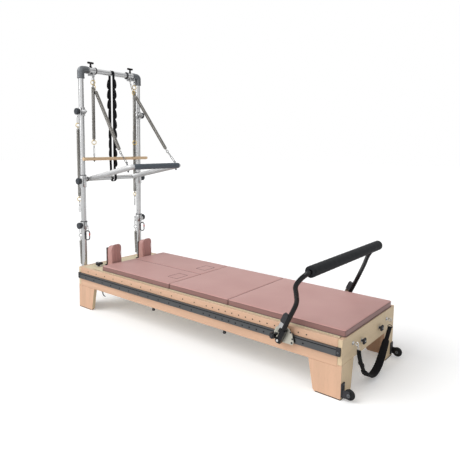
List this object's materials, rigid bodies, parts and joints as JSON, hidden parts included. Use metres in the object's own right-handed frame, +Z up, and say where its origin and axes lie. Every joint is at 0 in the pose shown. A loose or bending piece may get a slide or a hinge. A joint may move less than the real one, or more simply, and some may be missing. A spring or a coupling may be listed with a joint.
{
  "type": "pilates tower unit",
  "caption": "Wooden pilates reformer with full-length mat, sliding footbar, shoulder rests and a tube tower with springs, push bar and roll-down bar",
  "frame": {"origin": "on the floor under the middle of the bounding box", "axes": "+X from the tower to the foot end, +Y across towards the far side, +Z up"},
  "size_m": [2.573, 1.0062, 2.043],
  "materials": {
    "maple": "clear satin lacquer",
    "ply": "pale satin board",
    "vinyl": "soft dusty pink vinyl",
    "steel": "polished tube",
    "track": "anodised",
    "elbow": "satin grey",
    "black_plastic": "moulded",
    "black_paint": "gloss black",
    "foam": "closed-cell foam",
    "slate_foam": "closed-cell foam",
    "spring_steel": "bright wire",
    "birch": "clear lacquer",
    "webbing": "woven nylon",
    "rubber": "moulded tread"
  },
  "bodies": {
    "frame": {"carriage": "ply", "carriage_springs": "spring_steel", "crossbar": "steel", "elbow_far": "elbow", "elbow_near": "elbow", "foot_board": "maple", "foot_strap": "webbing", "footbar_track_far": "track", "footbar_track_near": "track", "head_board": "maple", "head_deck": "ply", "head_mat_far": "vinyl", "head_mat_near": "vinyl", "leg_foot_far": "maple", "leg_foot_near": "maple", "leg_head_far": "maple", "leg_head_near": "maple", "loop_strap": "webbing", "lower_spring_far": "spring_steel", "lower_spring_near": "spring_steel", "middle_collar_far": "steel", "middle_collar_near": "steel", "push_spring_far": "spring_steel", "push_spring_near": "spring_steel", "side_rail_far": "maple", "side_rail_near": "maple", "top_slider_far": "steel", "top_slider_near": "steel", "upright_far": "steel", "upright_near": "steel", "wheel_bracket_far": "black_plastic", "wheel_bracket_near": "black_plastic"},
    "footbar_carriage": {"footbar_carrier_near": "track", "footbar_carrier_far": "track"},
    "footbar_frame": {"footbar": "black_paint", "footbar_grip": "foam"},
    "push_bar": {"push_bar": "steel", "push_bar_grip": "slate_foam"},
    "roll_down_bar": {"roll_bar": "birch", "roll_spring_near": "spring_steel", "roll_spring_far": "spring_steel"},
    "head_knob": {"head_knob": "black_plastic"},
    "middle_mat": {"middle_mat": "vinyl"},
    "foot_mat": {"foot_mat": "vinyl"},
    "plunger_near": {"plunger_near": "black_plastic"},
    "upper_collar_near": {"upper_collar_near": "steel"},
    "leg_spring_near": {"leg_spring_near": "spring_steel"},
    "lower_collar_near": {"lower_collar_near": "steel"},
    "transport_wheel_near": {"transport_wheel_near": "rubber"},
    "star_knob_near": {"star_knob_near": "black_plastic"},
    "shoulder_rest_near": {"shoulder_pad_near": "vinyl", "shoulder_bracket_near": "black_plastic"},
    "plunger_far": {"plunger_far": "black_plastic"},
    "upper_collar_far": {"upper_collar_far": "steel"},
    "leg_spring_far": {"leg_spring_far": "spring_steel"},
    "lower_collar_far": {"lower_collar_far": "steel"},
    "transport_wheel_far": {"transport_wheel_far": "rubber"},
    "star_knob_far": {"star_knob_far": "black_plastic"},
    "shoulder_rest_far": {"shoulder_pad_far": "vinyl", "shoulder_bracket_far": "black_plastic"}
  },
  "joints": [
    {"name": "footbar_slide", "type": "slide", "parent": "frame", "child": "footbar_carriage", "axis": [1, 0, 0], "range_m": [-0.9, 0.25]},
    {"name": "footbar_fold", "type": "hinge", "parent": "footbar_carriage", "child": "footbar_frame", "pos_m": [0.8355, 0, 0.262], "axis": [0, 1, 0], "range_deg": [-28, 45]},
    {"name": "plunger_near_pull", "type": "slide", "parent": "footbar_carriage", "child": "plunger_near", "axis": [0, -1, 0], "range_m": [0, 0.012], "stiffness_N_per_m": 1500},
    {"name": "plunger_far_pull", "type": "slide", "parent": "footbar_carriage", "child": "plunger_far", "axis": [0, 1, 0], "range_m": [0, 0.012], "stiffness_N_per_m": 1500},
    {"name": "push_bar_swing", "type": "hinge", "parent": "frame", "child": "push_bar", "pos_m": [-1.2185, 0, 1.072], "axis": [0, 1, 0], "range_deg": [-40, 20], "stiffness_Nm_per_rad": 80, "springref_deg": -22.92, "deforming": ["push_spring_near", "push_spring_far"]},
    {"name": "roll_down_swing", "type": "hinge", "parent": "frame", "child": "roll_down_bar", "pos_m": [-1.1765, 0, 1.92], "axis": [0, 1, 0], "range_deg": [-20, 0]},
    {"name": "upper_collar_near_slide", "type": "slide", "parent": "frame", "child": "upper_collar_near", "axis": [0, 0, 1], "range_m": [-0.06, 0.2]},
    {"name": "leg_spring_near_swing", "type": "hinge", "parent": "upper_collar_near", "child": "leg_spring_near", "pos_m": [-1.2725, -0.3025, 1.611], "axis": [0, 1, 0], "range_deg": [0, 75]},
    {"name": "lower_collar_near_slide", "type": "slide", "parent": "frame", "child": "lower_collar_near", "axis": [0, 0, 1], "range_m": [-0.1, 0.06], "deforming": ["lower_spring_near"]},
    {"name": "upper_collar_far_slide", "type": "slide", "parent": "frame", "child": "upper_collar_far", "axis": [0, 0, 1], "range_m": [-0.06, 0.2]},
    {"name": "leg_spring_far_swing", "type": "hinge", "parent": "upper_collar_far", "child": "leg_spring_far", "pos_m": [-1.2725, 0.3025, 1.611], "axis": [0, 1, 0], "range_deg": [0, 75]},
    {"name": "lower_collar_far_slide", "type": "slide", "parent": "frame", "child": "lower_collar_far", "axis": [0, 0, 1], "range_m": [-0.1, 0.06], "deforming": ["lower_spring_far"]},
    {"name": "transport_wheel_near_spin", "type": "hinge", "parent": "frame", "child": "transport_wheel_near", "pos_m": [1.2555, -0.362, 0.041], "axis": [0, 1, 0], "continuous": true},
    {"name": "star_knob_near_turn", "type": "hinge", "parent": "frame", "child": "star_knob_near", "pos_m": [1.2115, -0.132, 0.266], "axis": [1, 0, 0], "continuous": true},
    {"name": "transport_wheel_far_spin", "type": "hinge", "parent": "frame", "child": "transport_wheel_far", "pos_m": [1.2555, 0.362, 0.041], "axis": [0, 1, 0], "continuous": true},
    {"name": "star_knob_far_turn", "type": "hinge", "parent": "frame", "child": "star_knob_far", "pos_m": [1.2115, 0.132, 0.266], "axis": [1, 0, 0], "continuous": true},
    {"name": "head_knob_turn", "type": "hinge", "parent": "frame", "child": "head_knob", "pos_m": [-1.0735, -0.267, 0.343], "axis": [0, 0, 1], "continuous": true},
    {"name": "shoulder_rest_near_lift", "type": "slide", "parent": "frame", "child": "shoulder_rest_near", "axis": [0, 0, 1], "range_m": [0, 0.12]},
    {"name": "shoulder_rest_far_lift", "type": "slide", "parent": "frame", "child": "shoulder_rest_far", "axis": [0, 0, 1], "range_m": [0, 0.12]},
    {"name": "middle_mat_lift", "type": "slide", "parent": "frame", "child": "middle_mat", "axis": [0, 0, -1], "range_m": [-0.22, 0]},
    {"name": "foot_mat_lift", "type": "slide", "parent": "frame", "child": "foot_mat", "axis": [0, 0, -1], "range_m": [-0.22, 0]}
  ]
}
